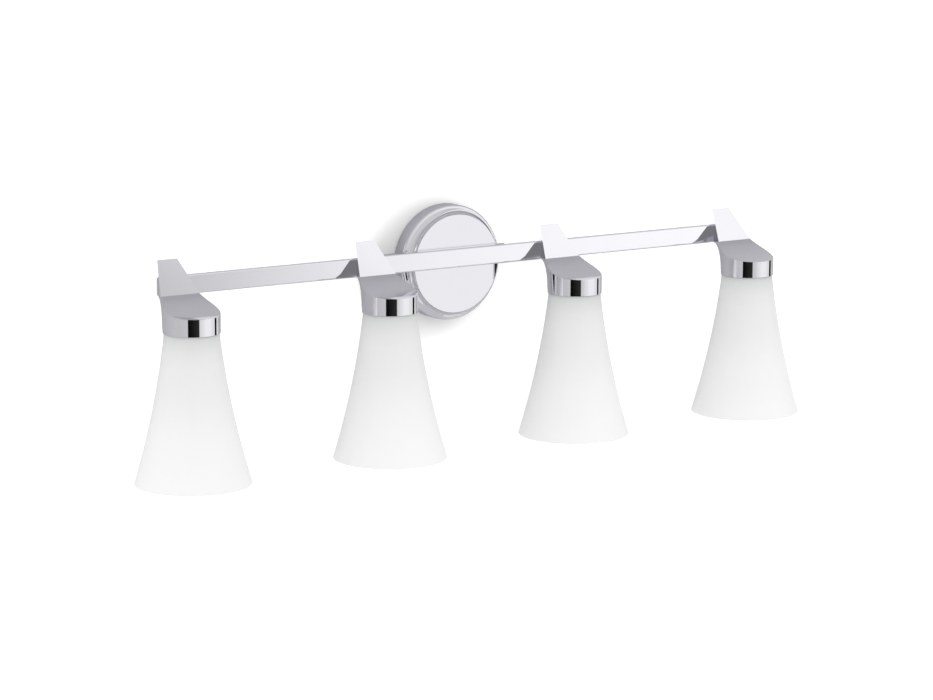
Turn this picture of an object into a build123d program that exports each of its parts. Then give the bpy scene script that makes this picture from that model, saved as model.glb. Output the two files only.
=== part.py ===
from build123d import *
from math import acos, atan2, cos, sin, radians, sqrt
import os

# Four-lamp vanity light bar, millimetres.
# Origin: centre of the canopy on the wall plane. +X along the bar, +Y into the wall, +Z up.
# Everything hangs on the -Y side of the wall plane; the lamps point straight down.

# ---- driving dimensions -------------------------------------------------------------------
LAMP_PITCH = 228.6                      # 9 in between neighbouring lamps
LAMP_X = [(i - 1.5) * LAMP_PITCH for i in range(4)]
LAMP_Y = -78.3                          # lamp axis, in front of the wall

CANOPY_R = 60.5
CANOPY_DEPTH = 26.6
CANOPY_FACE_R = 51.65
CANOPY_SHEET = 1.2
SHOULDER = 2.5                          # rounding between the cove's foot and the side
COVE_DEPTH = 16.5                       # distance of the cove's foot from the wall

BAR_H = 20.0
BAR_T = 9.5
BAR_WALL = 1.2
BAR_HALF = 353.3
BAR_Z = 7.5                             # height of the bar's centre line
BAR_CORNER = 1.6
CAP_T = 1.5                             # thickness of the bar's end plugs
CAP_STUB = 1.6                          # how far a plug reaches into the tube

ARM_TOP_Z = 33.3
ARM_BACK_Y = -27.0
ARM_TOP_Y = -29.7                       # front edge of the arm's narrow top face
ARM_TOP_HALF = 10.15                    # half width of the arm at its back
CREASE_Y, CREASE_Z = -55.4, 1.3         # where the flat slope turns into the hollow sweep
SWEEP_R = 95.0                          # radius of the hollow sweep
SWEEP_Y, SWEEP_Z = -109.9, 79.2         # its centre
UNDER_CENTRE = (-39.2, -26.5)           # (depth, height) of the arch under the arm
UNDER_R = 24.2
COLLAR_R = 28.5
COLLAR_BOTTOM = -32.9
COLLAR_WALL = 1.6
CEILING_Z = -17.4                       # roof of the cup inside the collar
LEDGE_Z = -15.9                         # top of the cup behind the arm

SHADE_TOP = -24.5
SHADE_BOTTOM = -183.0
SHADE_NECK_R = 26.6
SHADE_SHOULDER_R = 27.4
SHADE_MID_R = 39.4
SHADE_RIM_R = 58.4
GLASS_T = 3.0
SHADE_HOLE_R = 19.6

SOCKET_R = 19.0
SOCKET_BOTTOM = -60.0
FLANGE_R = 24.5
FLANGE_BOTTOM = -23.0
SOCKET_BORE_R = 14.2
WIRE_ROOM_R = 13.5                      # hollow in the flange for the lead's ends
WIRE_ROOM_Z = -23.0
BORE_TOP = -30.0
SHELL_R = 13.4                          # clear radius inside the screw shell
SHELL_T = 0.4
SHELL_MOUTH = -58.5
RIVET_R = 1.6                           # rivet that holds the centre contact
RIVET_TOP = -22.2
CONTACT_Z = -33.3                       # where the lamp's tip meets the spring contact

RING_TOP = SHADE_TOP - GLASS_T
RING_H = 8.0
RING_BORE_R = 19.3

BULB_CAP_R = 13.0
BULB_R = 30.0
BULB_LENGTH = 108.0
BULB_GLASS = 0.9
BULB_THROAT_R = 12.4
WAIST_START = 28                        # angle up the globe where the waist curve begins
CAP_SHEET = 0.5
BULB_TOP = CONTACT_Z
BULB_CAP_TOP = BULB_TOP - 4.0
BULB_CAP_BOTTOM = BULB_TOP - 25.0
BULB_BOTTOM = BULB_TOP - BULB_LENGTH

LEAD_R = 1.4
LANES = [8.9, 4.6, 4.6, 8.9]            # height of each lamp's lead inside the bar
LEAD_X = 1.6                            # offset of the leads inside the hollow nipple
NIPPLE_R = 6.3
NIPPLE_BORE_R = 4.8
NIPPLE_END = -16.5
NUT_R = 10.0                            # nut's corners
NUT_T = 4.2
LUG_R = 10.5
LUG_T = 1.2
SPLICE_Y = -12.5                        # where the leads turn sideways inside the canopy
NUT_MOUTH = 16.0                        # distance of each connector's mouth from the centre
NUT_LENGTH = 21.0

BRACKET_W = 22.0
BRACKET_T = 2.0
BRACKET_TOP = 58.2                      # outer face of the bracket's ears
BRACKET_SHOULDER = 50.0                 # half length of the strap's full width
EAR_HALF = 7.0
EAR_REACH = 12.0
SLOT_Z = 39.7                           # centres of the bracket's slots
SLOT_W = 4.6
SLOT_L = 14.2
SET_SCREW_Y = -7.0

BAR_SCREW_X = 32.0                      # screws from the canopy into the bar
BAR_SCREW_R = 2.0
ARM_SCREW_X = 4.2                       # screws from the bar into each arm
ARM_SCREW_Z = 13.0
ARM_SCREW_R = 1.9
ARM_SCREW_HEAD_R = 2.7
ARM_SCREW_TIP = -42.2
SOCKET_SCREW_X = 21.6                   # screws from each holder's flange into its cup
SOCKET_SCREW_R = 1.5
SOCKET_SCREW_TIP = -13.4
SET_SCREW_R = 2.0
PLAY = 0.05                             # radial room round a shank or wire
WIRE_WAY_R = 3.6
WIRE_WAY_Z = 6.0                        # wire hole between the bar and each arm
WIRE_BEND_Y, WIRE_BEND_Z = -44.5, 6.3   # where that hole turns down into the arm
WIRE_CUP_Y, WIRE_CUP_Z = -73.0, -20.2   # where it comes out in the cup
GROUND_Z = -20.0                        # earthing screw in the strap
GROUND_R = 0.95                         # earthing wire
GROUND_SHANK_R = 2.4
GROUND_GAP = 2.0                        # space for that wire under the screw's head

BAR_BACK = -CANOPY_DEPTH                # the bar lies on the canopy's face
BAR_FRONT = BAR_BACK - BAR_T
BAR_MID = BAR_BACK - BAR_T / 2
BAR_BOTTOM = BAR_Z - BAR_H / 2
BAR_TOP = BAR_Z + BAR_H / 2
FACE_INSIDE = -(CANOPY_DEPTH - CANOPY_SHEET)

os.makedirs("parts", exist_ok=True)


# ---- helpers ------------------------------------------------------------------------------
def save(shape, node):
    export_step(shape, f"parts/{node}.step")


def rod(radius, start, end):
    """A round bar from one point to another."""
    a, b = Vector(*start), Vector(*end)
    plane = Plane(origin=(a + b) / 2, z_dir=b - a)
    return plane * Cylinder(radius, (b - a).length)


def along_y(radius, x, z, start, end):
    """A round bar along the wall's normal."""
    return rod(radius, (x, start, z), (x, end, z))


def box(x, y, z):
    """A block between pairs of limits."""
    centre = Pos(sum(x) / 2, sum(y) / 2, sum(z) / 2)
    return centre * Box(abs(x[1] - x[0]), abs(y[1] - y[0]), abs(z[1] - z[0]))


def outline(*steps):
    """A closed face: each step is the next corner, or (point on the arc, end of the arc)."""
    edges = []
    here = steps[0]
    for step in list(steps[1:]) + [steps[0]]:
        if isinstance(step[0], tuple):
            edges.append(ThreePointArc(here, step[0], step[1]))
            here = step[1]
        else:
            edges.append(Line(here, step))
            here = step
    return make_face(edges)


def turned(*steps):
    """A body turned about the vertical axis from an outline in (radius, height)."""
    return revolve(Plane.XZ * outline(*steps), Axis.Z)


def spun(*steps):
    """A body turned about the wall's normal from an outline in (radius, depth)."""
    return revolve(outline(*steps), Axis.Y)


def at_lamp(x, shape):
    return Pos(x, LAMP_Y, 0) * shape


def lead_along(points, radius, bend):
    """A round lead through the points, its corners rounded to the bend radii."""
    path = FilletPolyline(*points, radius=bend)
    start = Plane(origin=path @ 0, z_dir=path % 0)
    return sweep(start * Circle(radius), path=path)


def round_point(centre, radius, degrees):
    """A point on a circle, for the middle of a rounded stretch."""
    a = radians(degrees)
    return (centre[0] + radius * cos(a), centre[1] + radius * sin(a))


# ---- canopy -------------------------------------------------------------------------------
def canopy_body(inset):
    """The canopy's outer form, drawn in by the sheet's thickness."""
    side = CANOPY_R - inset
    face = -(CANOPY_DEPTH - inset)
    foot = -(COVE_DEPTH - inset)
    shoulder = SHOULDER - inset
    cove = side - shoulder
    lip = CANOPY_FACE_R - inset
    cove_mid = (lip + (cove - lip) * 0.29, foot + (face - foot) * 0.29)
    bulge = round_point((cove, foot + shoulder), shoulder, -45)
    return spun((0, 0), (0, face), (lip, face), (cove_mid, (cove, foot)),
                (bulge, (side, foot + shoulder)), (side, 0))


def canopy():
    shell = canopy_body(0) - canopy_body(CANOPY_SHEET)
    shell -= along_y(NIPPLE_R + 2 * PLAY, 0, BAR_Z, 0, BAR_FRONT)
    for x in (-BAR_SCREW_X, BAR_SCREW_X):
        shell -= along_y(BAR_SCREW_R + 2 * PLAY, x, BAR_Z, 0, BAR_FRONT)
    for side in (-1, 1):
        shell -= rod(SET_SCREW_R + PLAY, (0, SET_SCREW_Y, side * 50), (0, SET_SCREW_Y, side * 70))
    return shell


def canopy_set_screws():
    """Two headless screws that clamp the canopy's rim to the bracket's ears."""
    screws = []
    for side in (-1, 1):
        screw = rod(SET_SCREW_R, (0, SET_SCREW_Y, side * 54), (0, SET_SCREW_Y, side * CANOPY_R))
        socket = rod(SET_SCREW_R / 2, (0, SET_SCREW_Y, side * (CANOPY_R - 1.6)), (0, SET_SCREW_Y, side * 62))
        screws.append(screw - socket)
    return Compound(children=screws)


# ---- wall bracket -------------------------------------------------------------------------
def wall_bracket():
    """A strap with two slots, and an ear at each end bent forward inside the canopy's rim."""
    plate = box((-BRACKET_W / 2, BRACKET_W / 2), (-BRACKET_T, 0), (-BRACKET_SHOULDER, BRACKET_SHOULDER))
    plate += box((-EAR_HALF, EAR_HALF), (-BRACKET_T, 0), (-BRACKET_TOP, BRACKET_TOP))
    for side in (-1, 1):
        ear_z = (side * (BRACKET_TOP - BRACKET_T), side * BRACKET_TOP)
        plate += box((-EAR_HALF, EAR_HALF), (-EAR_REACH, 0), ear_z)
        plate -= rod(SET_SCREW_R + PLAY, (0, SET_SCREW_Y, side * 50), (0, SET_SCREW_Y, side * 60))
        slot = Pos(0, 0, side * SLOT_Z) * Rot(90, 0, 90) * SlotOverall(SLOT_L, SLOT_W)
        plate -= extrude(slot, 5, both=True)
    plate -= along_y(GROUND_SHANK_R + PLAY, 0, GROUND_Z, -5, 5)
    return plate


def ground_screw():
    """The green earthing screw in the strap."""
    under = -BRACKET_T - GROUND_GAP
    head = along_y(4.6, 0, GROUND_Z, under - 2.4, under)
    head += along_y(GROUND_SHANK_R, 0, GROUND_Z, under, 0)
    slot = box((-0.6, 0.6), (under - 4, under - 1.4), (GROUND_Z - 6, GROUND_Z + 6))
    return head - slot


def ground_wire():
    """Bare wire from the lug on the nipple, down and back up under the screw's head."""
    front = FACE_INSIDE + LUG_T + GROUND_R
    back = -BRACKET_T - GROUND_R - PLAY
    low = GROUND_Z - 16
    end = GROUND_Z - GROUND_SHANK_R - 2 * PLAY
    points = [(0, front, -4), (0, front, low), (0, back, low), (0, back, end)]
    return lead_along(points, GROUND_R, 5.0)


# ---- bar ----------------------------------------------------------------------------------
def bar_section(inset, half_length):
    """The bar's rounded rectangle, drawn in by the inset, at full length."""
    corner = max(BAR_CORNER - inset, 0.5)
    block = Box(2 * half_length, BAR_T - 2 * inset, BAR_H - 2 * inset)
    block = fillet(block.edges().filter_by(Axis.X), corner)
    return Pos(0, BAR_MID, BAR_Z) * block


def bar_tube():
    tube = bar_section(0, BAR_HALF - CAP_T) - bar_section(BAR_WALL, BAR_HALF)
    tube -= along_y(NIPPLE_R + PLAY, 0, BAR_Z, BAR_MID, 0)
    for x in (-BAR_SCREW_X, BAR_SCREW_X):
        tube -= along_y(BAR_SCREW_R + PLAY, x, BAR_Z, BAR_MID, 0)
    for lamp in LAMP_X:
        tube -= along_y(WIRE_WAY_R, lamp, WIRE_WAY_Z, BAR_MID, BAR_FRONT - 2)
        for x in (lamp - ARM_SCREW_X, lamp + ARM_SCREW_X):
            tube -= along_y(ARM_SCREW_R + 2 * PLAY, x, ARM_SCREW_Z, BAR_MID, BAR_FRONT - 2)
            tube -= along_y(ARM_SCREW_HEAD_R + 5 * PLAY, x, ARM_SCREW_Z, BAR_MID, 0)
    return tube


def bar_cap(side):
    """A plug that closes one end of the bar."""
    cap = bar_section(0, BAR_HALF)
    end = side * (BAR_HALF - CAP_T)
    cap &= box((end, side * (BAR_HALF + 1)), (-60, 0), (-20, 40))
    stub = bar_section(BAR_WALL + 2 * PLAY, BAR_HALF)
    stub &= box((end - side * CAP_STUB, end), (-60, 0), (-20, 40))
    return cap + stub


def bar_nipple():
    """The hollow threaded stem that ties the bar to the canopy and carries the leads."""
    stem = along_y(NIPPLE_R, 0, BAR_Z, BAR_BACK - BAR_WALL, NIPPLE_END)
    return stem - along_y(NIPPLE_BORE_R, 0, BAR_Z, BAR_FRONT, 0)


def earth_lug():
    """A ring under the nipple's nut with a tail that holds the earthing wire."""
    ring = along_y(LUG_R, 0, BAR_Z, FACE_INSIDE, FACE_INSIDE + LUG_T)
    ring += box((-3, 3), (FACE_INSIDE, FACE_INSIDE + LUG_T), (-10, 0))
    return ring - along_y(NIPPLE_R + PLAY, 0, BAR_Z, BAR_FRONT, 0)


def nipple_nut():
    plane = Plane(origin=(0, FACE_INSIDE + LUG_T, BAR_Z), z_dir=(0, 1, 0))
    nut = extrude(plane * RegularPolygon(NUT_R, 6), NUT_T)
    return nut - along_y(NIPPLE_R + 0.02, 0, BAR_Z, BAR_FRONT, 0)


def bar_screws():
    """Two pan-head screws from inside the canopy into the bar's back wall."""
    screws = []
    for x in (-BAR_SCREW_X, BAR_SCREW_X):
        shank = along_y(BAR_SCREW_R, x, BAR_Z, FACE_INSIDE, BAR_BACK - BAR_WALL - 1.5)
        head = along_y(3.8, x, BAR_Z, FACE_INSIDE, FACE_INSIDE + 2.6)
        cross = box((x - 2.4, x + 2.4), (FACE_INSIDE + 1.2, FACE_INSIDE + 4), (BAR_Z - 0.5, BAR_Z + 0.5))
        screws.append(shank + head - cross)
    return Compound(children=screws)


# ---- arms ---------------------------------------------------------------------------------
def arm_touch():
    """Where the arm's straight side runs into the round collar, seen from above."""
    dx, dy = ARM_TOP_HALF, ARM_BACK_Y - LAMP_Y
    spread = atan2(dy, dx) - acos(COLLAR_R / sqrt(dx * dx + dy * dy))
    return (COLLAR_R * cos(spread), LAMP_Y + COLLAR_R * sin(spread))


def arm_plan():
    """The arm seen from above: straight sides that flare out to the round collar."""
    x, y = arm_touch()
    front = (0, LAMP_Y - COLLAR_R)
    return outline((-ARM_TOP_HALF, ARM_BACK_Y), (ARM_TOP_HALF, ARM_BACK_Y), (x, y), (front, (-x, y)))


def sweep_z(y):
    """Height of the hollow sweep at a given depth."""
    return SWEEP_Z - sqrt(SWEEP_R ** 2 - (y - SWEEP_Y) ** 2)


def arm_profile():
    """The arm seen from the side, with the notch that fits over the bar."""
    front = LAMP_Y - COLLAR_R - 0.2
    back = arm_touch()[1]
    sweep_mid = (CREASE_Y + front) / 2
    under_mid = round_point(UNDER_CENTRE, UNDER_R, 128)
    under_end = round_point(UNDER_CENTRE, UNDER_R, 180)
    return outline((ARM_BACK_Y, ARM_TOP_Z), (ARM_TOP_Y, ARM_TOP_Z), (CREASE_Y, CREASE_Z),
                   ((sweep_mid, sweep_z(sweep_mid)), (front, sweep_z(front))),
                   (front, COLLAR_BOTTOM), (back, COLLAR_BOTTOM), under_end,
                   (under_mid, (BAR_FRONT, BAR_BOTTOM)), (BAR_FRONT, BAR_TOP), (ARM_BACK_Y, BAR_TOP))


def arm():
    """One arm with its collar, cup, wire way and tapped holes, at x = 0."""
    height = ARM_TOP_Z - COLLAR_BOTTOM
    body = extrude(Pos(0, 0, COLLAR_BOTTOM) * arm_plan(), height)
    body &= extrude(Plane.YZ * arm_profile(), COLLAR_R + 2, both=True)
    body += rod(COLLAR_R, (0, LAMP_Y, COLLAR_BOTTOM), (0, LAMP_Y, LEDGE_Z))
    body -= rod(COLLAR_R - COLLAR_WALL, (0, LAMP_Y, COLLAR_BOTTOM - 1), (0, LAMP_Y, CEILING_Z))
    body -= along_y(WIRE_WAY_R, 0, WIRE_WAY_Z, BAR_BACK, WIRE_BEND_Y - 1)
    body -= rod(WIRE_WAY_R - 1, (0, WIRE_BEND_Y, WIRE_BEND_Z), (0, WIRE_CUP_Y, WIRE_CUP_Z))
    for x in (-ARM_SCREW_X, ARM_SCREW_X):
        body -= along_y(ARM_SCREW_R + PLAY, x, ARM_SCREW_Z, BAR_BACK, ARM_SCREW_TIP - 0.3)
    for x in (-SOCKET_SCREW_X, SOCKET_SCREW_X):
        body -= rod(SOCKET_SCREW_R + PLAY, (x, LAMP_Y, -25), (x, LAMP_Y, SOCKET_SCREW_TIP + 0.2))
    return body


def arm_screws():
    """Two screws per arm, driven from the back of the bar through its front wall."""
    screws = []
    seat = BAR_FRONT + BAR_WALL
    for lamp in LAMP_X:
        for x in (lamp - ARM_SCREW_X, lamp + ARM_SCREW_X):
            shank = along_y(ARM_SCREW_R, x, ARM_SCREW_Z, seat, ARM_SCREW_TIP)
            head = along_y(ARM_SCREW_HEAD_R, x, ARM_SCREW_Z, seat, seat + 2.4)
            cross = box((x - 1.8, x + 1.8), (seat + 1.2, seat + 3), (ARM_SCREW_Z - 0.4, ARM_SCREW_Z + 0.4))
            screws.append(shank + head - cross)
    return Compound(children=screws)


# ---- lamp holders -------------------------------------------------------------------------
def socket_body():
    """Moulded lamp holder: flange under the cup's roof, outside thread for the shade ring."""
    body = turned((0, CEILING_Z), (FLANGE_R, CEILING_Z), (FLANGE_R, FLANGE_BOTTOM),
                  (SOCKET_R, FLANGE_BOTTOM), (SOCKET_R, SOCKET_BOTTOM), (0, SOCKET_BOTTOM))
    below = SOCKET_BOTTOM - 10
    body -= turned((0, BORE_TOP), (SOCKET_BORE_R, BORE_TOP), (SOCKET_BORE_R, below), (0, below))
    body -= turned((0, -15.0), (WIRE_ROOM_R, -15.0), (WIRE_ROOM_R, WIRE_ROOM_Z), (0, WIRE_ROOM_Z))
    body -= rod(RIVET_R + PLAY, (0, 0, BORE_TOP - 1), (0, 0, WIRE_ROOM_Z + 1))
    for x in (-SOCKET_SCREW_X, SOCKET_SCREW_X):
        body -= Pos(x, 0, 0) * Cylinder(SOCKET_SCREW_R + 2 * PLAY, 60)
        body -= Pos(x, 0, FLANGE_BOTTOM + 0.75) * Cone(2.9, 1.6, 1.5)
    return body


def screw_shell():
    """Thin brass shell with a rolled mouth, open at the bottom."""
    outer = SHELL_R + SHELL_T
    roof = BORE_TOP - SHELL_T
    return turned((6.0, BORE_TOP), (outer, BORE_TOP), (outer, SHELL_MOUTH), (SHELL_R, SHELL_MOUTH),
                  (SHELL_R, roof), (6.0, roof))


def centre_contact():
    """The sprung centre contact: a rivet through the holder and a raised tongue."""
    tongue = turned((0, BORE_TOP), (4.4, BORE_TOP), (3.6, CONTACT_Z), (0, CONTACT_Z))
    stem = turned((0, RIVET_TOP), (RIVET_R, RIVET_TOP), (RIVET_R, BORE_TOP), (0, BORE_TOP))
    return tongue + stem


def socket_screws():
    screws = []
    for lamp in LAMP_X:
        for x in (lamp - SOCKET_SCREW_X, lamp + SOCKET_SCREW_X):
            shank = rod(SOCKET_SCREW_R, (x, LAMP_Y, FLANGE_BOTTOM + 1.5), (x, LAMP_Y, SOCKET_SCREW_TIP))
            head = Pos(x, LAMP_Y, FLANGE_BOTTOM + 0.75) * Cone(2.8, 1.5, 1.5)
            screws.append(shank + head)
    return Compound(children=screws)


def shade_gaskets():
    """Soft washers between each holder's flange and the glass."""
    washers = []
    for lamp in LAMP_X:
        inner, outer = SOCKET_R + 0.3, FLANGE_R - 0.7
        washer = turned((inner, FLANGE_BOTTOM), (outer, FLANGE_BOTTOM), (outer, SHADE_TOP), (inner, SHADE_TOP))
        washers.append(at_lamp(lamp, washer))
    return Compound(children=washers)


# ---- shades -------------------------------------------------------------------------------
def shade():
    """Flared glass bell: closed neck with a fitter hole, slow outward curve, rolled rim."""
    neck_end = COLLAR_BOTTOM - 1.2
    mid_z = (neck_end + SHADE_BOTTOM) / 2
    rim_mid = (SHADE_RIM_R - GLASS_T / 2, SHADE_BOTTOM - 1.2)
    inner_neck = SHADE_NECK_R - GLASS_T
    return turned((SHADE_HOLE_R, SHADE_TOP), (SHADE_NECK_R - 1, SHADE_TOP),
                  ((SHADE_NECK_R - 0.3, SHADE_TOP - 0.3), (SHADE_NECK_R, SHADE_TOP - 1)),
                  (SHADE_NECK_R, COLLAR_BOTTOM - 0.2), (SHADE_SHOULDER_R, neck_end),
                  ((SHADE_MID_R, mid_z), (SHADE_RIM_R, SHADE_BOTTOM)),
                  (rim_mid, (SHADE_RIM_R - GLASS_T, SHADE_BOTTOM)),
                  ((SHADE_MID_R - GLASS_T, mid_z), (inner_neck + 0.6, neck_end - 1)),
                  (inner_neck, SHADE_TOP - GLASS_T), (SHADE_HOLE_R, SHADE_TOP - GLASS_T))


def shade_ring():
    """The ring that screws up the holder and pinches the glass: flange, skirt and grip ribs."""
    low = RING_TOP - RING_H
    ring = turned((RING_BORE_R, RING_TOP), (23.0, RING_TOP), (23.0, RING_TOP - 2.0),
                  (21.4, RING_TOP - 2.0), (21.4, low), (RING_BORE_R, low))
    rib = Pos(21.4, 0, low + 2.5) * Box(1.2, 1.4, 5.0)
    for k in range(12):
        ring += Rot(0, 0, 30 * k) * rib
    return ring


# ---- bulbs --------------------------------------------------------------------------------
def bulb_contact():
    """Solder tip and the black insulator around it."""
    step = BULB_TOP - 1.6
    tip = turned((0, BULB_TOP), (3.4, BULB_TOP), (4.6, step), (0, step))
    return tip + turned((0, step), (6.0, step), (9.5, BULB_CAP_TOP), (0, BULB_CAP_TOP))


def bulb_cap():
    """The lamp's metal cap, a thin shell over its thread crests, open towards the glass."""
    shoulder = BULB_CAP_TOP - 2.5
    inner = BULB_CAP_R - CAP_SHEET
    return turned((0, BULB_CAP_TOP), (9.5, BULB_CAP_TOP), (BULB_CAP_R, shoulder),
                  (BULB_CAP_R, BULB_CAP_BOTTOM), (inner, BULB_CAP_BOTTOM), (inner, shoulder - 0.4),
                  (9.3, BULB_CAP_TOP - CAP_SHEET), (0, BULB_CAP_TOP - CAP_SHEET))


def bulb_globe():
    """Pear-shaped glass shell: straight throat, waist curve and round belly."""
    belly = (0, BULB_BOTTOM + BULB_R)
    throat_end = BULB_CAP_BOTTOM - 4.0
    waist_end = round_point(belly, BULB_R, WAIST_START)
    waist_mid = (18.6, (throat_end + waist_end[1]) / 2 + 2.4)
    thin = BULB_R - BULB_GLASS
    inner_end = round_point(belly, thin, WAIST_START)
    inner_mid = (waist_mid[0] - BULB_GLASS, waist_mid[1] - 0.3)
    top = BULB_CAP_BOTTOM + 3.0
    outer, inner = BULB_THROAT_R, BULB_THROAT_R - BULB_GLASS
    return turned((inner, top), (outer, top), (outer, throat_end), (waist_mid, waist_end),
                  (round_point(belly, BULB_R, -20), (0, BULB_BOTTOM)),
                  (0, BULB_BOTTOM + BULB_GLASS), (round_point(belly, thin, -20), inner_end),
                  (inner_mid, (inner, throat_end)))


# ---- wiring -------------------------------------------------------------------------------
def lamp_lead(lamp, lane):
    """Twin lead from a holder, up the arm, along the bar and through the nipple."""
    side = -1 if lamp < 0 else 1
    cup = WIRE_CUP_Z - 0.1
    points = [(lamp, LAMP_Y - 8, cup), (lamp, WIRE_CUP_Y, cup), (lamp, WIRE_BEND_Y - 1.7, WIRE_BEND_Z - 1.6),
              (lamp, BAR_MID, lane), (side * LEAD_X, BAR_MID, lane),
              (side * LEAD_X, SPLICE_Y, lane), (side * (NUT_MOUTH + 9), SPLICE_Y, lane)]
    return lead_along(points, LEAD_R, 4.5)


def wire_connectors():
    """Two screw-on connectors, one for each side's pair of leads."""
    mid = sum(LANES[:2]) / 2
    nuts = []
    for side in (-1, 1):
        mouth, tip = side * NUT_MOUTH, side * (NUT_MOUTH + NUT_LENGTH)
        plane = Plane(origin=((mouth + tip) / 2, SPLICE_Y, mid), z_dir=(side, 0, 0))
        nut = plane * Cone(6.2, 3.6, NUT_LENGTH)
        nut -= rod(4.2, (mouth - side, SPLICE_Y, mid), (mouth + side * 11, SPLICE_Y, mid))
        nuts.append(nut)
    return Compound(children=nuts)


# ---- write every node ---------------------------------------------------------------------
save(wall_bracket(), "wall_bracket")
save(ground_screw(), "ground_screw")
save(ground_wire(), "ground_wire")
save(canopy(), "canopy")
save(canopy_set_screws(), "canopy_set_screws")
save(bar_tube(), "bar_tube")
save(bar_cap(-1), "bar_cap_left")
save(bar_cap(1), "bar_cap_right")
save(bar_nipple(), "bar_nipple")
save(earth_lug(), "earth_lug")
save(nipple_nut(), "nipple_nut")
save(bar_screws(), "bar_screws")
save(arm_screws(), "arm_screws")
save(socket_screws(), "socket_screws")
save(shade_gaskets(), "shade_gaskets")
save(wire_connectors(), "wire_connectors")

LAMP_PIECES = {
    "socket_body": socket_body(),
    "screw_shell": screw_shell(),
    "centre_contact": centre_contact(),
    "shade": shade(),
    "shade_ring": shade_ring(),
    "bulb_globe": bulb_globe(),
    "bulb_cap": bulb_cap(),
    "bulb_contact": bulb_contact(),
}
one_arm = arm()
for number, (lamp, lane) in enumerate(zip(LAMP_X, LANES), start=1):
    save(Pos(lamp, 0, 0) * one_arm, f"arm_{number}")
    save(lamp_lead(lamp, lane), f"lamp_lead_{number}")
    for name, piece in LAMP_PIECES.items():
        save(at_lamp(lamp, piece), f"{name}_{number}")
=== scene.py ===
import bpy
import bmesh
import math
from mathutils import Matrix, Vector


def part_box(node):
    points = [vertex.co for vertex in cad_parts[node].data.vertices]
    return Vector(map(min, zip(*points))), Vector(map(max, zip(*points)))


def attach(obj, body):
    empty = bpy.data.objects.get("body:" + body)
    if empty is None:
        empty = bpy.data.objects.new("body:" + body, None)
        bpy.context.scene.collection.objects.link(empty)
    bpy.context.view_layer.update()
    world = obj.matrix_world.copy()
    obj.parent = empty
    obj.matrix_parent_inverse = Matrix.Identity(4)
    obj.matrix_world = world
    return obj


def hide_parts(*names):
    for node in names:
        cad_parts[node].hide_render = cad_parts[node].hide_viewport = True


# Looks of a four-lamp chrome vanity light, in metres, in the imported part's own frame.

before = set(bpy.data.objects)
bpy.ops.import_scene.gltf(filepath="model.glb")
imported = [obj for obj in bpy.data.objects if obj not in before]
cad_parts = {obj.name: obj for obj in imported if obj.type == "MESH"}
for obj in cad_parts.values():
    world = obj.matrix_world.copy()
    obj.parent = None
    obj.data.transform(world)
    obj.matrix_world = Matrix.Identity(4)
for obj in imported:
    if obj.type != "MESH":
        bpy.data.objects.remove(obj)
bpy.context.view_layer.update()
MM = 0.001
LAMPS = (1, 2, 3, 4)


def middle(node):
    """Centre of a CAD node's box."""
    low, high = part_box(node)
    return (low + high) / 2


# heights in mm that the shades' glass and outline share
SHADE_TOP, COLLAR_LOW, SHADE_BOTTOM = -24.5, -33.0, -183.0

LAMP_X = {n: middle(f"shade_{n}").x for n in LAMPS}
LAMP_Y = middle("shade_1").y


# ---- node material helpers ----------------------------------------------------------------
class Shader:
    """A small wrapper for building one material's node tree."""

    def __init__(self, name):
        self.material = bpy.data.materials.new(name)
        self.material.use_nodes = True
        self.tree = self.material.node_tree
        self.tree.nodes.clear()
        self.out = self.tree.nodes.new("ShaderNodeOutputMaterial")
        self.bsdf = self.tree.nodes.new("ShaderNodeBsdfPrincipled")
        self.link(self.bsdf.outputs["BSDF"], self.out.inputs["Surface"])
        self.coords = self.tree.nodes.new("ShaderNodeTexCoord")

    def link(self, a, b):
        self.tree.links.new(a, b)

    def set(self, **values):
        """Constants on the shader's own sockets."""
        for name, value in values.items():
            self.bsdf.inputs[name.replace("_", " ")].default_value = value
        return self

    def noise(self, scale, detail=4.0, roughness=0.55, stretch=(1, 1, 1)):
        """A noise factor in object space, finer with a higher scale."""
        mapping = self.tree.nodes.new("ShaderNodeMapping")
        mapping.inputs["Scale"].default_value = stretch
        self.link(self.coords.outputs["Object"], mapping.inputs["Vector"])
        node = self.tree.nodes.new("ShaderNodeTexNoise")
        node.inputs["Scale"].default_value = scale
        node.inputs["Detail"].default_value = detail
        node.inputs["Roughness"].default_value = roughness
        self.link(mapping.outputs["Vector"], node.inputs["Vector"])
        return node.outputs["Fac"]

    def spread(self, factor, low, high, start=0.35, end=0.65):
        """The factor stretched from start..end to low..high."""
        node = self.tree.nodes.new("ShaderNodeMapRange")
        for name, value in (("From Min", start), ("From Max", end), ("To Min", low), ("To Max", high)):
            node.inputs[name].default_value = value
        self.link(factor, node.inputs["Value"])
        return node.outputs["Result"]

    def tint(self, factor, stops):
        """A colour from a factor through (position, (r, g, b)) stops."""
        node = self.tree.nodes.new("ShaderNodeValToRGB")
        ramp = node.color_ramp
        while len(ramp.elements) < len(stops):
            ramp.elements.new(0.5)
        for element, (position, colour) in zip(ramp.elements, stops):
            element.position = position
            element.color = (*colour, 1)
        self.link(factor, node.inputs["Fac"])
        return node.outputs["Color"]

    def colour(self, source):
        self.link(source, self.bsdf.inputs["Base Color"])
        return self

    def rough(self, source):
        self.link(source, self.bsdf.inputs["Roughness"])
        return self

    def bump(self, factor, depth, strength=1.0, normal=None):
        """Bump of a depth in metres."""
        node = self.tree.nodes.new("ShaderNodeBump")
        if normal is not None:
            self.link(normal, node.inputs["Normal"])
        node.inputs["Strength"].default_value = strength
        node.inputs["Distance"].default_value = depth
        self.link(factor, node.inputs["Height"])
        self.link(node.outputs["Normal"], self.bsdf.inputs["Normal"])
        return self


def shade_of(colour, amount):
    return tuple(c * amount for c in colour)


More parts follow.
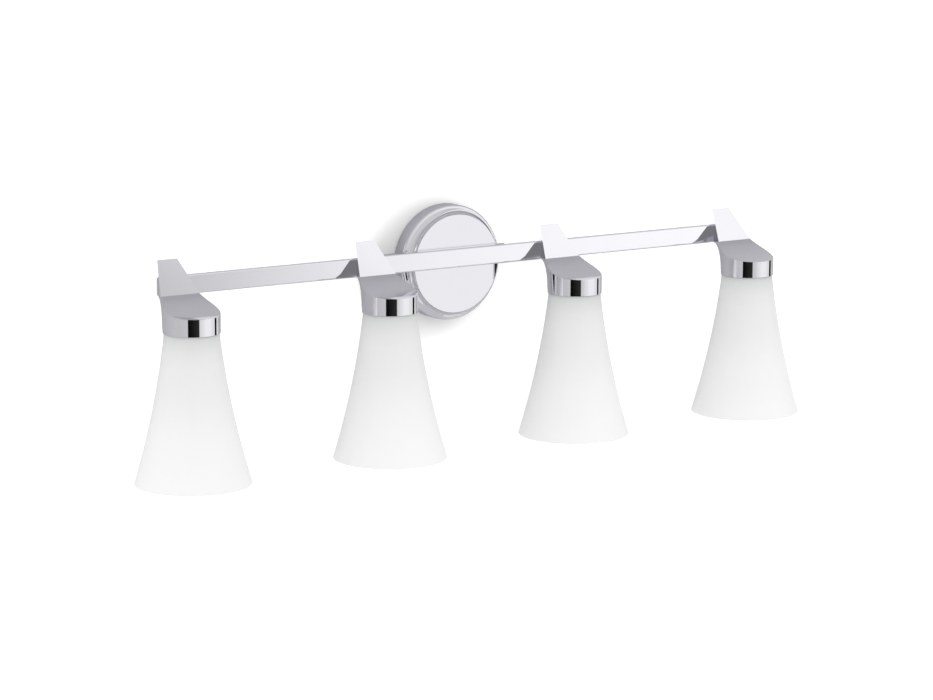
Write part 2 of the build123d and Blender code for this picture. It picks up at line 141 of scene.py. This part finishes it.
def finish_of(name, colour, vary, scale, rough, depth, metallic=0.0, stretch=(1, 1, 1), **extra):
    """A material whose colour, roughness and surface all vary a little with one or two noises."""
    s = Shader(name).set(Metallic=metallic, **extra)
    broad = s.noise(scale, 3.0, 0.5, stretch)
    fine = s.noise(scale * 9, 4.0, 0.6, stretch)
    s.colour(s.tint(broad, [(0.3, shade_of(colour, 1 - vary)), (0.7, colour)]))
    s.rough(s.spread(fine, rough[0], rough[1]))
    s.bump(fine, depth)
    return s.material


CHROME = (0.86, 0.852, 0.895)
POLISH = (0.03, 0.055)                  # roughness of mirror plate
PLATE_BUMP = 0.0000008
BAR_CROWN = 0.056                       # how far the bar's front leans back, as a slope
MATERIALS = {
    "chrome": finish_of("chrome", CHROME, 0.012, 40, POLISH, PLATE_BUMP, 1.0),
    "nickel": finish_of("nickel", (0.66, 0.64, 0.60), 0.10, 120, (0.18, 0.34), 0.00001, 1.0),
    "brass": finish_of("brass", (0.80, 0.60, 0.28), 0.12, 90, (0.16, 0.32), 0.00001, 1.0),
    "zinc": finish_of("zinc", (0.60, 0.61, 0.63), 0.16, 150, (0.28, 0.48), 0.00003, 1.0),
    "copper": finish_of("copper", (0.78, 0.42, 0.25), 0.14, 150, (0.2, 0.38), 0.00001, 1.0),
    "green_screw": finish_of("green_screw", (0.07, 0.34, 0.12), 0.2, 200, (0.25, 0.42), 0.00002, 0.6),
    "holder": finish_of("holder", (0.83, 0.82, 0.79), 0.05, 60, (0.32, 0.48), 0.00004),
    "ring": finish_of("ring", (0.86, 0.86, 0.84), 0.04, 70, (0.38, 0.55), 0.00004),
    "gasket": finish_of("gasket", (0.48, 0.48, 0.47), 0.1, 80, (0.6, 0.8), 0.00005),
    "insulator": finish_of("insulator", (0.015, 0.014, 0.018), 0.3, 160, (0.08, 0.2), 0.00001),
    "lead": finish_of("lead", (0.80, 0.80, 0.77), 0.06, 60, (0.4, 0.6), 0.00005),
    "connector": finish_of("connector", (0.82, 0.30, 0.06), 0.1, 80, (0.35, 0.5), 0.00005),
}


def bar_chrome():
    """The bar's plate, its front crowned back a little towards the top."""
    s = Shader("bar_chrome").set(Metallic=1.0)
    broad, fine = s.noise(40, 3.0, 0.5), s.noise(360, 4.0, 0.6)
    s.colour(s.tint(broad, [(0.3, shade_of(CHROME, 0.988)), (0.7, CHROME)]))
    s.rough(s.spread(fine, *POLISH))
    crown = s.tree.nodes.new("ShaderNodeVectorMath")
    crown.operation = "ADD"
    crown.inputs[1].default_value = (0, 0, BAR_CROWN)
    s.link(s.tree.nodes.new("ShaderNodeNewGeometry").outputs["Normal"], crown.inputs[0])
    s.bump(fine, PLATE_BUMP, normal=crown.outputs[0])
    return s.material


def opal_glass():
    """White glass with a satin outside: light goes a few millimetres into it."""
    s = Shader("opal_glass").set(IOR=1.5, Subsurface_Weight=0.35, Subsurface_Scale=0.006)
    s.bsdf.inputs["Subsurface Radius"].default_value = (1.0, 0.98, 0.95)
    cloud = s.noise(14, 3.0, 0.5)
    grain = s.noise(2600, 2.0, 0.6)
    split = s.tree.nodes.new("ShaderNodeSeparateXYZ")
    s.link(s.coords.outputs["Object"], split.inputs[0])
    # painted shade: the glass's colour is darkened round the holder, where the collar and holder shade it,
    # and clears towards the mouth
    painted_shade_share = s.spread(split.outputs[2], 0.0, 1.0, SHADE_BOTTOM * MM, COLLAR_LOW * MM)
    depth = s.tint(painted_shade_share, [(0.0, (1.0, 1.0, 1.0)), (0.35, (0.975, 0.975, 0.975)), (0.55, (0.95, 0.95, 0.95)),
                          (0.79, (0.91, 0.912, 0.914)), (0.87, (0.87, 0.872, 0.875)),
                          (0.95, (0.79, 0.795, 0.80)), (1.0, (0.70, 0.705, 0.71))])
    blend = s.tree.nodes.new("ShaderNodeMix")
    blend.data_type, blend.blend_type = "RGBA", "MULTIPLY"
    blend.inputs[0].default_value = 1.0
    s.link(s.tint(cloud, [(0.25, (0.89, 0.893, 0.888)), (0.75, (0.905, 0.908, 0.903))]), blend.inputs[6])
    s.link(depth, blend.inputs[7])
    s.colour(blend.outputs[2])
    s.rough(s.spread(grain, 0.46, 0.6))
    s.bump(grain, 0.00001)
    return s.material


def bulb_glass():
    """Inside-frosted lamp glass."""
    s = Shader("bulb_glass").set(IOR=1.45, Subsurface_Weight=0.2, Subsurface_Scale=0.003)
    cloud = s.noise(30, 3.0, 0.5)
    grain = s.noise(900, 3.0, 0.6)
    s.colour(s.tint(cloud, [(0.3, (0.86, 0.85, 0.81)), (0.7, (0.90, 0.89, 0.86))]))
    s.rough(s.spread(grain, 0.12, 0.2))
    s.bump(grain, 0.000004)
    return s.material


MATERIALS["bar"] = bar_chrome()
MATERIALS["opal"] = opal_glass()
MATERIALS["bulb"] = bulb_glass()


# ---- mesh helpers -------------------------------------------------------------------------
def piece(name, verts, faces, material, body, stands_for, crease=32):
    """A finished mesh that rides on a body and stands for CAD nodes."""
    mesh = bpy.data.meshes.new(name)
    mesh.from_pydata(verts, [], faces)
    bm = bmesh.new()
    bm.from_mesh(mesh)
    bmesh.ops.remove_doubles(bm, verts=bm.verts, dist=1e-7)
    bmesh.ops.recalc_face_normals(bm, faces=bm.faces)
    bm.to_mesh(mesh)
    bm.free()
    mesh.shade_smooth()
    mesh.set_sharp_from_angle(angle=math.radians(crease))
    mesh.materials.append(MATERIALS[material])
    made = bpy.data.objects.new(name, mesh)
    bpy.context.scene.collection.objects.link(made)
    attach(made, body)
    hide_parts(*stands_for)
    return made


def arc(centre, radius, start, end, steps):
    """Points on a circle between two angles in degrees."""
    points = []
    for i in range(steps + 1):
        a = math.radians(start + (end - start) * i / steps)
        points.append((centre[0] + radius * math.cos(a), centre[1] + radius * math.sin(a)))
    return points


def through(a, b, c, steps):
    """Points on the circle through three points, from the first to the last."""
    (ax, ay), (bx, by), (cx, cy) = a, b, c
    d = 2 * (ax * (by - cy) + bx * (cy - ay) + cx * (ay - by))
    ux = ((ax * ax + ay * ay) * (by - cy) + (bx * bx + by * by) * (cy - ay)
          + (cx * cx + cy * cy) * (ay - by)) / d
    uy = ((ax * ax + ay * ay) * (cx - bx) + (bx * bx + by * by) * (ax - cx)
          + (cx * cx + cy * cy) * (bx - ax)) / d
    radius = math.hypot(ax - ux, ay - uy)
    first = math.degrees(math.atan2(ay - uy, ax - ux))
    mid = math.degrees(math.atan2(by - uy, bx - ux))
    last = math.degrees(math.atan2(cy - uy, cx - ux))
    up = (mid - first) % 360 <= (last - first) % 360
    turn = (last - first) % 360 if up else (last - first) % 360 - 360
    return arc((ux, uy), radius, first, first + turn, steps)


def spun(outline, around, segments=128, place=(0, 0, 0)):
    """Vertices and faces of a closed outline in (radius, height) mm, turned about Z or Y."""
    verts, faces = [], []
    count = len(outline)
    for i in range(segments):
        a = 2 * math.pi * i / segments
        for r, h in outline:
            x, s = r * math.cos(a) * MM, r * math.sin(a) * MM
            point = (x, s, h * MM) if around == "Z" else (x, h * MM, s)
            verts.append(tuple(p + q for p, q in zip(point, place)))
    for i in range(segments):
        j = (i + 1) % segments
        for k in range(count):
            m = (k + 1) % count
            corner = [i * count + k, i * count + m, j * count + m, j * count + k]
            if outline[k][0] == 0 and outline[m][0] == 0:
                continue
            faces.append(corner)
    return verts, faces


def threaded(rings, place, segments=72):
    """A closed skin through rings of (radius, height, thread depth) in mm, turned about Z."""
    verts, faces = [], []
    for r, z, depth in rings:
        for i in range(segments):
            a = 2 * math.pi * i / segments
            groove = 0.5 - 0.5 * math.cos(2 * math.pi * z / PITCH - a)
            cut = (r - depth * groove) * MM
            verts.append((place[0] + cut * math.cos(a), place[1] + cut * math.sin(a), z * MM))
    for k in range(len(rings)):
        m = (k + 1) % len(rings)
        if rings[k][0] == 0 and rings[m][0] == 0:
            continue
        for i in range(segments):
            j = (i + 1) % segments
            faces.append((k * segments + i, k * segments + j, m * segments + j, m * segments + i))
    return verts, faces


def fading(top, bottom, fade_top, fade_bottom, radius, depth, steps=80):
    """Rings down a thread whose grooves fade in and out near its ends."""
    rings = []
    for k in range(steps + 1):
        z = top + (bottom - top) * k / steps
        share = min(1.0, (top - z) / fade_top, (z - bottom) / fade_bottom)
        rings.append((radius, z, depth * max(0.0, share)))
    return rings


def at(n):
    return (LAMP_X[n], LAMP_Y, 0)


# ---- shades -------------------------------------------------------------------------------
GLASS = 3.0
NECK_R, SHOULDER_R, WAIST_R, RIM_R, FITTER_R = 26.6, 27.4, 39.4, 58.4, 19.6
NECK_END, NECK_FOOT = -34.1, -32.6
LIP_DEPTH = 0.8                         # lip's height as a share of a half round


def shade_outline():
    """Closed neck, slow flare and a rolled lip."""
    waist_z = (NECK_END + SHADE_BOTTOM) / 2
    outside = through((SHOULDER_R, NECK_END), (WAIST_R, waist_z), (RIM_R, SHADE_BOTTOM), 60)
    inside = through((NECK_R - GLASS + 0.6, NECK_END - 1), (WAIST_R - GLASS, waist_z),
                     (RIM_R - GLASS, SHADE_BOTTOM), 60)
    roll = arc((RIM_R - GLASS / 2, SHADE_BOTTOM), GLASS / 2, 0, -180, 12)
    roll = [(r, SHADE_BOTTOM + (z - SHADE_BOTTOM) * LIP_DEPTH) for r, z in roll]
    neck = arc((NECK_R - 1, SHADE_TOP - 1), 1, 90, 0, 6)
    corner = arc((NECK_R - GLASS - 1.5, SHADE_TOP - GLASS - 1.5), 1.5, 0, 90, 6)
    hole = [(FITTER_R, SHADE_TOP - GLASS + 0.3), (FITTER_R, SHADE_TOP - 0.3), (FITTER_R + 0.3, SHADE_TOP)]
    blend = [(NECK_R, NECK_FOOT), (NECK_R + 0.25, NECK_FOOT - 0.7)]
    under = [(FITTER_R + 0.3, SHADE_TOP - GLASS)]
    return neck + blend + outside + roll[1:-1] + inside[::-1] + corner + under + hole


for n in LAMPS:
    verts, faces = spun(shade_outline(), "Z", 160, at(n))
    piece(f"glass_shade_{n}", verts, faces, "opal", f"shade_{n}", [f"shade_{n}"], 50)


# ---- canopy -------------------------------------------------------------------------------
def canopy_outline():
    """Flat face, hollow cove, rounded shoulder and straight rim, with the inside skin."""
    def skin(inset, steps):
        side, face = 60.5 - inset, -(26.6 - inset)
        foot, shoulder = -(16.5 - inset), 2.5 - inset
        cove, lip = side - shoulder, 51.65 - inset
        cove_mid = (lip + (cove - lip) * 0.29, foot + (face - foot) * 0.29)
        points = [(0, face), (lip - 0.4, face), (lip - 0.25, face), (lip - 0.07, face + 0.07)]
        points += through((lip, face + 0.25), cove_mid, (cove, foot), steps)
        points += arc((cove, foot + shoulder), shoulder, -90, 0, 10)[1:]
        return points + [(side, -0.35 if inset == 0 else 0)]
    outer, inner = skin(0, 28), skin(1.2, 12)
    return outer + [(60.15, 0)] + inner[::-1]


verts, faces = spun(canopy_outline(), "Y", 256)
piece("canopy_shell", verts, faces, "chrome", "fixture", ["canopy"], 30)


# ---- bulbs --------------------------------------------------------------------------------
TIP = -33.3
CAP_TOP, CAP_END, GLOBE_BOTTOM = TIP - 4.0, TIP - 25.0, TIP - 108.0
CAP_R, THROAT_R, BULB_R, WALL = 13.0, 12.4, 30.0, 0.9
PITCH = 3.6
SHELL_TOP, SHELL_MOUTH, SHELL_R, SHELL_T, SHELL_HOLE = -30.0, -58.5, 13.4, 0.4, 6.0


def globe_outline():
    belly = (0, GLOBE_BOTTOM + BULB_R)
    top, throat_end = CAP_END + 3.0, CAP_END - 4.0

    def skin(inset, mid):
        r = BULB_R - inset
        bulge = arc(belly, r, 28, -90, 40)
        waist = through((THROAT_R - inset, throat_end), mid, bulge[0], 16)
        return [(THROAT_R - inset, top)] + waist + bulge[1:]
    waist_z = (throat_end + belly[1] + BULB_R * math.sin(math.radians(28))) / 2 + 2.4
    outer = skin(0, (18.6, waist_z))
    inner = skin(WALL, (18.6 - WALL, waist_z - 0.3))
    outer[-1], inner[-1] = (0, outer[-1][1]), (0, inner[-1][1])
    return outer + inner[::-1]


def cap_rings():
    """Screw cap: shoulder, rolled thread, plain end round the glass, and its inside."""
    high, plain = CAP_TOP - 2.5, CAP_END + 3.4
    outside = [(0, CAP_TOP, 0), (9.5, CAP_TOP, 0)] + fading(high, plain, 2.5, 2.0, CAP_R - 0.05, 0.85)
    inside = [(CAP_R - 0.5, CAP_END, 0), (CAP_R - 0.5, CAP_END + 3.2, 0), (CAP_R - 1.4, plain, 0),
              (CAP_R - 1.4, high - 0.6, 0), (9.0, CAP_TOP - 0.5, 0), (0, CAP_TOP - 0.5, 0)]
    return outside + [(CAP_R - 0.05, CAP_END, 0)] + inside


def shell_rings():
    """Holder's screw shell: pierced roof and threaded wall."""
    outer = fading(SHELL_TOP, SHELL_MOUTH, 3.0, 1.5, SHELL_R + SHELL_T, 0.5)
    inner = fading(SHELL_TOP - SHELL_T, SHELL_MOUTH, 3.0, 1.5, SHELL_R, 0.5)
    return [(SHELL_HOLE, SHELL_TOP, 0)] + outer + inner[::-1] + [(SHELL_HOLE, SHELL_TOP - SHELL_T, 0)]


for n in LAMPS:
    verts, faces = threaded(cap_rings(), at(n))
    piece(f"bulb_thread_{n}", verts, faces, "nickel", f"bulb_{n}", [f"bulb_cap_{n}"], 40)
    verts, faces = spun(globe_outline(), "Z", 96, at(n))
    piece(f"bulb_glass_{n}", verts, faces, "bulb", f"bulb_{n}", [f"bulb_globe_{n}"], 60)
    verts, faces = threaded(shell_rings(), at(n))
    piece(f"shell_thread_{n}", verts, faces, "brass", "fixture", [f"screw_shell_{n}"], 40)


# ---- carried-over CAD nodes ----------------------------------------------------------------
FINISHES = {
    "wall_bracket": "zinc", "ground_screw": "green_screw", "ground_wire": "copper",
    "canopy_set_screws": "zinc", "bar_tube": "bar", "bar_cap_left": "bar", "bar_cap_right": "bar",
    "bar_nipple": "nickel", "earth_lug": "nickel", "nipple_nut": "nickel", "bar_screws": "zinc",
    "arm_screws": "zinc", "socket_screws": "zinc", "shade_gaskets": "gasket", "wire_connectors": "connector",
}
for n in LAMPS:
    FINISHES.update({f"arm_{n}": "chrome", f"lamp_lead_{n}": "lead", f"socket_body_{n}": "holder",
                     f"screw_shell_{n}": "brass", f"centre_contact_{n}": "brass", f"shade_ring_{n}": "ring",
                     f"bulb_cap_{n}": "nickel", f"bulb_contact_{n}": "insulator",
                     f"shade_{n}": "opal", f"bulb_globe_{n}": "bulb"})
FINISHES["canopy"] = "chrome"
for node, finish in FINISHES.items():
    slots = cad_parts[node].material_slots
    for material_slot in slots:
        material_slot.material = MATERIALS[finish]


# ---- stage --------------------------------------------------------------------------------
WALL_Y = 0.0006                         # the wall stands just behind the canopy's rim
GLOW = 0.42                             # lifts the pale wall to white for the camera
OPENING_SQUARED = 0.0029                # square of the radius of the box opening behind the canopy
STRIP = (0.012, 0.045)                  # heights of the wall that the bar's top mirrors
STRIP_REACH = 0.065                     # farthest that the bar's top sits from the wall it mirrors
CANOPY_CLEAR = 0.078                    # the strip starts this far to each side of the canopy
# painted shadow on the wall: its centre's offset from the canopy, and where it fades back to full glow
SHADOW_LEFT, SHADOW_DOWN = 0.019, 0.004
SHADOW_START, SHADOW_END = 0.057, 0.098
WALL_TONES = ((0.0, 0.55), (0.05, 0.52), (0.2, 0.42), (0.5, 0.36), (1.0, 0.34))


def stage_material():
    """Pale grey wall and floor, shown white to the camera and clear from behind."""
    material = bpy.data.materials.new("stage")
    material.use_nodes = True
    tree = material.node_tree
    tree.nodes.clear()
    new, link = tree.nodes.new, tree.links.new
    out = new("ShaderNodeOutputMaterial")
    path = new("ShaderNodeLightPath")
    pale, grey = new("ShaderNodeBsdfDiffuse"), new("ShaderNodeBsdfDiffuse")
    pale.inputs["Color"].default_value = (0.93, 0.93, 0.93, 1)
    glow = new("ShaderNodeEmission")
    lit, pick, clear = new("ShaderNodeAddShader"), new("ShaderNodeMixShader"), new("ShaderNodeMixShader")
    link(pale.outputs[0], pick.inputs[1])
    link(grey.outputs[0], pick.inputs[2])
    link(pick.outputs[0], lit.inputs[0])
    link(glow.outputs[0], lit.inputs[1])
    side = new("ShaderNodeNewGeometry")
    split = new("ShaderNodeSeparateXYZ")
    link(side.outputs["Position"], split.inputs[0])
    x, _, z = split.outputs

    def math_node(kind, a, b):
        node = new("ShaderNodeMath")
        node.operation = kind
        for socket, value in zip(node.inputs, (a, b)):
            if isinstance(value, float):
                socket.default_value = value
            else:
                link(value, socket)
        return node.outputs[0]

    # the chrome mirrors a wall that darkens upwards
    shade = new("ShaderNodeValToRGB")
    while len(shade.color_ramp.elements) < len(WALL_TONES):
        shade.color_ramp.elements.new(0.5)
    for element, (height, value) in zip(shade.color_ramp.elements, WALL_TONES):
        element.position = height
        element.color = (value, value * 0.99, value * 1.03, 1)
    link(z, shade.inputs[0])
    link(shade.outputs[0], grey.inputs["Color"])
    # the outlet box's opening behind the canopy lets light in from the back
    across = math_node("ADD", math_node("MULTIPLY", x, x), math_node("MULTIPLY", z, z))
    opening = math_node("LESS_THAN", across, OPENING_SQUARED)
    link(math_node("MAXIMUM", side.outputs["Backfacing"], opening), clear.inputs[0])
    # the strip of wall that the bar's top mirrors is as pale as the camera sees it
    strip = math_node("MULTIPLY", math_node("GREATER_THAN", z, STRIP[0]), math_node("LESS_THAN", z, STRIP[1]))
    clear_of_canopy = math_node("GREATER_THAN", math_node("ABSOLUTE", x, 0.0), CANOPY_CLEAR)
    close = math_node("LESS_THAN", path.outputs["Ray Length"], STRIP_REACH)
    close = math_node("MULTIPLY", clear_of_canopy, close)
    near_strip = math_node("MULTIPLY", strip, close)
    mirrored = math_node("MULTIPLY", near_strip, path.outputs["Is Glossy Ray"])
    bright = math_node("MAXIMUM", mirrored, path.outputs["Is Camera Ray"])
    # painted shadow: the wall's glow is faded out round a point just left of and below the canopy's centre,
    # so a soft shadow shows to its left, away from the brighter side
    left = math_node("ADD", x, SHADOW_LEFT)
    lower = math_node("ADD", z, SHADOW_DOWN)
    out_from = math_node("SQRT", math_node("ADD", math_node("MULTIPLY", left, left),
                                           math_node("MULTIPLY", lower, lower)), 0.0)
    fade = new("ShaderNodeMapRange")
    fade.interpolation_type = "SMOOTHSTEP"
    for name, value in (("From Min", SHADOW_START), ("From Max", SHADOW_END),
                        ("To Min", 0.0), ("To Max", GLOW)):
        fade.inputs[name].default_value = value
    link(out_from, fade.inputs["Value"])
    link(math_node("MULTIPLY", bright, fade.outputs["Result"]), glow.inputs["Strength"])
    link(math_node("SUBTRACT", path.outputs["Is Glossy Ray"], mirrored), pick.inputs[0])
    link(lit.outputs[0], clear.inputs[1])
    link(new("ShaderNodeBsdfTransparent").outputs[0], clear.inputs[2])
    link(clear.outputs[0], out.inputs["Surface"])
    return material


def wall_and_floor():
    """One sheet: the wall behind the fixture, rounded into a pale floor."""
    half, high, low, reach, bend = 3.0, 5.0, -1.1, 3.5, 0.35
    line = [(WALL_Y, high), (WALL_Y, 0.6), (WALL_Y, -0.6)]
    for i in range(13):
        a = math.radians(90 * i / 12)
        line.append((WALL_Y - bend + bend * math.cos(a), low + bend - bend * math.sin(a)))
    line.append((-reach, low))
    verts, faces = [], []
    for x in (-half, half):
        verts += [(x, y, z) for y, z in line]
    count = len(line)
    for k in range(count - 1):
        faces.append((k, k + count, k + count + 1, k + 1))
    mesh = bpy.data.meshes.new("wall_and_floor")
    mesh.from_pydata(verts, [], faces)
    mesh.materials.append(stage_material())
    sheet = bpy.data.objects.new("wall_and_floor", mesh)
    bpy.context.scene.collection.objects.link(sheet)
    mesh.update()
    if mesh.polygons[0].normal.y > 0:
        mesh.flip_normals()
    mesh.shade_smooth()
    return sheet


wall_and_floor()


# ---- studio -------------------------------------------------------------------------------
def studio():
    """Even soft light for matt surfaces, and softboxes with dark gaps for the chrome to mirror."""
    world = bpy.data.worlds.new("studio")
    bpy.context.scene.world = world
    world.use_nodes = True
    tree = world.node_tree
    tree.nodes.clear()
    new, link = tree.nodes.new, tree.links.new

    def math_node(kind, a, b=None):
        node = new("ShaderNodeMath")
        node.operation = kind
        for socket, value in zip(node.inputs, (a, b)):
            if value is None:
                continue
            if isinstance(value, (int, float)):
                socket.default_value = value
            else:
                link(value, socket)
        return node.outputs[0]

    def ramp(value, low, high, stops, blend="LINEAR"):
        """Grey levels, as photo-like display values, against an angle in degrees."""
        share = math_node("DIVIDE", math_node("SUBTRACT", value, low), high - low)
        node = new("ShaderNodeValToRGB")
        node.color_ramp.interpolation = blend
        while len(node.color_ramp.elements) < len(stops):
            node.color_ramp.elements.new(0.5)
        for element, (angle, level) in zip(node.color_ramp.elements, stops):
            element.position = (angle - low) / (high - low)
            v = level / 255
            linear = v / 12.92 if v < 0.04045 else ((v + 0.055) / 1.055) ** 2.4
            element.color = (*[linear / CHROME[0]] * 3, 1)
        link(share, node.inputs[0])
        return node.outputs[0]

    def mix(factor, a, b):
        node = new("ShaderNodeMix")
        node.data_type = "RGBA"
        link(factor, node.inputs[0])
        link(a, node.inputs[6])
        link(b, node.inputs[7])
        return node.outputs[2]

    coords = new("ShaderNodeTexCoord")
    split = new("ShaderNodeSeparateXYZ")
    link(coords.outputs["Generated"], split.inputs[0])
    x, y, z = split.outputs
    turn = math_node("MULTIPLY", math_node("ARCTAN2", x, math_node("MULTIPLY", y, -1.0)), 180 / math.pi)
    rise = math_node("MULTIPLY", math_node("ARCSINE", z), 180 / math.pi)

    # straight ahead of the wall is 0 degrees, to the right is positive
    plain = ramp(turn, -180, 180, [
        (-180, 175), (-140, 182), (-130, 188), (-127, 177), (-111, 156), (-106, 149), (-101, 180), (-96, 185),
        (-57, 192), (-5, 200), (0, 200), (5, 210), (13, 220), (22, 226), (28, 235), (50, 236), (56, 229),
        (63, 221), (74.5, 219), (76, 3), (87, 3), (89, 113), (97, 182), (120, 188), (180, 175)])
    level = ramp(turn, -180, 180, [
        (-180, 178), (-100, 182), (-95, 123), (-6, 123), (-4, 190), (27, 190), (28.8, 200), (29.5, 215),
        (30.2, 224), (30.8, 232), (32.5, 241), (33.9, 246), (35.9, 250), (38, 252), (50, 246), (60, 224),
        (72, 214), (90, 182), (180, 176)])
    upper = ramp(turn, -180, 180, [
        (-180, 170), (-90, 176), (-30, 200), (30, 200), (45, 188), (52.5, 192), (54.3, 199), (56.8, 238),
        (59, 247), (66, 247), (70, 165), (90, 160), (130, 165), (180, 160)])
    lower = ramp(turn, -180, 180, [(-180, 176), (-90, 182), (-30, 184), (30, 206), (90, 190), (180, 176)])

    def band(start, full, full_end, end):
        """1 between two elevations, falling to 0 outside them."""
        node = new("ShaderNodeValToRGB")
        while len(node.color_ramp.elements) < 4:
            node.color_ramp.elements.new(0.5)
        for element, (angle, level) in zip(node.color_ramp.elements, (
                (start, 0), (full, 1), (full_end, 1), (end, 0))):
            element.position = (angle + 90) / 180
            element.color = (level, level, level, 1)
        link(math_node("DIVIDE", math_node("ADD", rise, 90.0), 180.0), node.inputs[0])
        return node.outputs[0]

    painted = mix(band(-22, -16, 18, 34), upper, plain)
    below = band(-91, -90, -24, -16)
    painted = mix(below, painted, lower)
    painted = mix(band(-5.8, -5.2, -1.5, -0.5), painted, level)

    path = new("ShaderNodeLightPath")
    soft, white = new("ShaderNodeRGB"), new("ShaderNodeRGB")
    soft.outputs[0].default_value = (1.01, 1.01, 1.005, 1)
    white.outputs[0].default_value = (1.05, 1.05, 1.05, 1)
    seen = mix(path.outputs["Is Glossy Ray"], soft.outputs[0], painted)
    seen = mix(path.outputs["Is Camera Ray"], seen, white.outputs[0])
    background = new("ShaderNodeBackground")
    link(seen, background.inputs["Color"])
    link(background.outputs[0], new("ShaderNodeOutputWorld").inputs["Surface"])


studio()


def dark_card():
    """A long black card to the front left, seen only in the chrome."""
    near, far, top_near, top_far, foot = (-1.503, -1.312), (-0.253, -2.670), -0.205, -0.275, -0.9
    verts = [(*near, foot), (*far, foot), (*far, top_far), (*near, top_near)]
    mesh = bpy.data.meshes.new("dark_card")
    mesh.from_pydata(verts, [], [(0, 1, 2, 3)])
    material = bpy.data.materials.new("dark_card")
    material.use_nodes = True
    tree = material.node_tree
    tree.nodes.clear()
    new, link = tree.nodes.new, tree.links.new
    split, fade, glow = new("ShaderNodeSeparateXYZ"), new("ShaderNodeMapRange"), new("ShaderNodeEmission")
    link(new("ShaderNodeNewGeometry").outputs["Position"], split.inputs[0])
    link(split.outputs[0], fade.inputs["Value"])
    for name, value in (("From Min", near[0]), ("From Max", far[0]), ("To Min", 0.0), ("To Max", 0.03)):
        fade.inputs[name].default_value = value
    link(fade.outputs["Result"], glow.inputs["Strength"])
    link(glow.outputs[0], new("ShaderNodeOutputMaterial").inputs["Surface"])
    mesh.materials.append(material)
    card = bpy.data.objects.new("dark_card", mesh)
    for kind in ("camera", "diffuse", "transmission", "shadow", "volume_scatter"):
        setattr(card, f"visible_{kind}", False)
    bpy.context.scene.collection.objects.link(card)


dark_card()


def softbox(name, place, target, size, watts):
    light = bpy.data.lights.new(name, "AREA")
    light.shape = "RECTANGLE"
    light.size, light.size_y = size
    light.energy = watts
    lamp = bpy.data.objects.new(name, light)
    lamp.location = place
    lamp.rotation_mode = "QUATERNION"
    lamp.rotation_quaternion = (Vector(target) - Vector(place)).to_track_quat("-Z", "Y")
    lamp.visible_camera = False
    lamp.visible_glossy = False
    bpy.context.scene.collection.objects.link(lamp)


softbox("softbox_right", (2.2, -2.2, 0.3), (0, 0, -0.05), (1.6, 1.6), 5)
softbox("softbox_left", (-2.6, -0.9, 0.2), (0.15, -0.05, -0.1), (1.4, 1.6), 4.5)


# ---- camera -------------------------------------------------------------------------------
EYE = (-1.9213, -2.9701, 0.5467)
YAW, PITCH, ROLL = 33.306, 10.290, 0.159
LENS, SENSOR = 131.56, 36


def camera():
    """Stands to the left of the fixture and a little above it."""
    yaw, pitch, roll = math.radians(YAW), math.radians(PITCH), math.radians(ROLL)
    forward = Vector((math.sin(yaw) * math.cos(pitch), math.cos(yaw) * math.cos(pitch), -math.sin(pitch)))
    right = Vector((math.cos(yaw), -math.sin(yaw), 0))
    up = right.cross(forward)
    across = right * math.cos(roll) + up * math.sin(roll)
    upward = -right * math.sin(roll) + up * math.cos(roll)
    place = Vector(EYE)
    data = bpy.data.cameras.new("camera")
    data.lens, data.sensor_width = LENS, SENSOR
    data.clip_end = 60
    eye = bpy.data.objects.new("camera", data)
    eye.matrix_world = Matrix((
        (across.x, upward.x, -forward.x, place.x),
        (across.y, upward.y, -forward.y, place.y),
        (across.z, upward.z, -forward.z, place.z),
        (0, 0, 0, 1)))
    bpy.context.scene.collection.objects.link(eye)
    bpy.context.scene.camera = eye


camera()
bpy.context.scene.view_settings.view_transform = "Standard"
